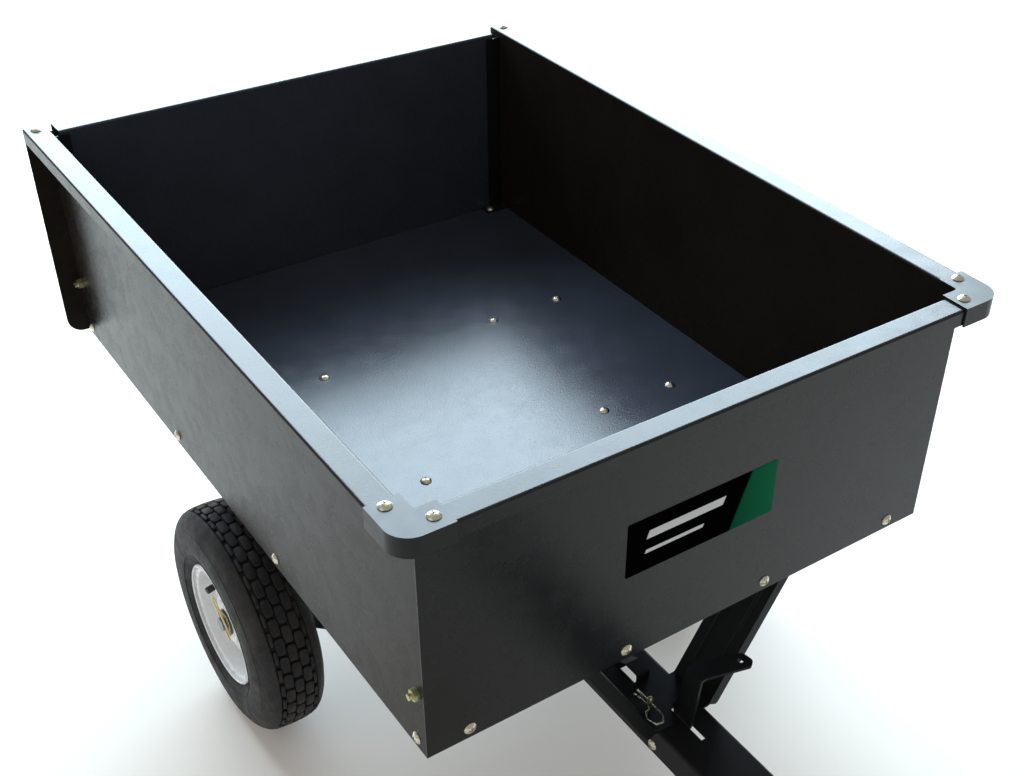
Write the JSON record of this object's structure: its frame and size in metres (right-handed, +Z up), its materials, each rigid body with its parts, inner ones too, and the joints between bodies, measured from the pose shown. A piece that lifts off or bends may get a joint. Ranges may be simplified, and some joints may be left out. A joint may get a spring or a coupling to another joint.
{
  "type": "tow behind cart",
  "caption": "Tow-behind dump cart: steel tray bed that tips on its axle, lift-out tailgate, channel tongue with foot latch, lock pin and air-filled wheels.",
  "frame": {"origin": "centre of the cart's box on the ground: x at the middle of the track, y halfway from hitch end to tailgate, z at the tyres' contact", "axes": "+Z up, hitch end towards -Y, tailgate towards +Y, axle along X"},
  "size_m": [0.8122, 1.576, 0.7139],
  "materials": {
    "black_powder_coat": "textured semi-gloss black powder coat on steel",
    "zinc_plate": "bright zinc plated steel",
    "tyre": "matt black tyre rubber",
    "white_paint": "gloss white paint on pressed steel",
    "yellow_zinc": "yellow passivated zinc plate",
    "bush_plastic": "matt black nylon",
    "valve_rubber": "matt rubber",
    "decal_film": "plain printed film, no text"
  },
  "bodies": {
    "drawbar": {"tongue": "black_powder_coat", "hitch_plate": "black_powder_coat", "axle": "zinc_plate", "axle_spacers": "zinc_plate", "axle_washers": "zinc_plate", "cotter_pins": "yellow_zinc", "drawbar_bolts": "zinc_plate", "drawbar_nuts": "zinc_plate", "latch_bolt": "zinc_plate", "latch_nut": "zinc_plate", "axle_plate_left": "black_powder_coat", "axle_plate_right": "black_powder_coat", "brace_left": "black_powder_coat", "brace_right": "black_powder_coat"},
    "bed": {"floor_pan": "black_powder_coat", "front_panel": "black_powder_coat", "front_saddle": "black_powder_coat", "floor_screws": "zinc_plate", "floor_nuts": "zinc_plate", "front_screws": "zinc_plate", "front_nuts": "zinc_plate", "side_screws": "zinc_plate", "side_nuts": "zinc_plate", "corner_bolts": "zinc_plate", "corner_nuts": "zinc_plate", "cap_screws": "zinc_plate", "rear_rim_screws": "zinc_plate", "rim_nuts": "zinc_plate", "decal": "decal_film", "side_panel_left": "black_powder_coat", "side_panel_right": "black_powder_coat", "corner_cap_left": "black_powder_coat", "corner_cap_right": "black_powder_coat", "tailgate_guide_left": "black_powder_coat", "tailgate_guide_right": "black_powder_coat", "bed_bracket_inner_left": "black_powder_coat", "bed_bracket_inner_right": "black_powder_coat", "bed_bracket_outer_left": "black_powder_coat", "bed_bracket_outer_right": "black_powder_coat"},
    "tailgate": {"tailgate": "black_powder_coat"},
    "wheel_left": {"tyre_left": "tyre", "wheel_rim_left": "white_paint", "wheel_hub_left": "white_paint", "hub_bushes_left": "bush_plastic", "valve_stem_left": "valve_rubber"},
    "wheel_right": {"tyre_right": "tyre", "wheel_rim_right": "white_paint", "wheel_hub_right": "white_paint", "hub_bushes_right": "bush_plastic", "valve_stem_right": "valve_rubber"},
    "latch": {"latch_lever": "black_powder_coat", "latch_spring": "zinc_plate"},
    "lock_pin": {"lock_pin": "zinc_plate"},
    "r_clip": {"r_clip": "zinc_plate"}
  },
  "joints": [
    {"name": "wheel_left_spin", "type": "hinge", "parent": "drawbar", "child": "wheel_left", "pos_m": [0.358, 0.2835, 0.165], "axis": [1, 0, 0], "continuous": true},
    {"name": "wheel_right_spin", "type": "hinge", "parent": "drawbar", "child": "wheel_right", "pos_m": [-0.358, 0.2835, 0.165], "axis": [1, 0, 0], "continuous": true},
    {"name": "bed_tip", "type": "hinge", "parent": "drawbar", "child": "bed", "pos_m": [0, 0.2835, 0.165], "axis": [-1, 0, 0], "range_deg": [0, 40]},
    {"name": "tailgate_lift", "type": "slide", "parent": "bed", "child": "tailgate", "axis": [0, 0, 1], "range_m": [0, 0.34]},
    {"name": "latch_pedal", "type": "hinge", "parent": "drawbar", "child": "latch", "pos_m": [0.002, -0.225, 0.17], "axis": [1, 0, 0], "range_deg": [0, 15], "stiffness_Nm_per_rad": 0.6, "springref_deg": -20.05},
    {"name": "lock_pin_pull", "type": "slide", "parent": "bed", "child": "lock_pin", "axis": [0, 0, 1], "range_m": [0, 0.05]},
    {"name": "r_clip_pull", "type": "slide", "parent": "lock_pin", "child": "r_clip", "axis": [0, -1, 0], "range_m": [0, 0.07]}
  ]
}
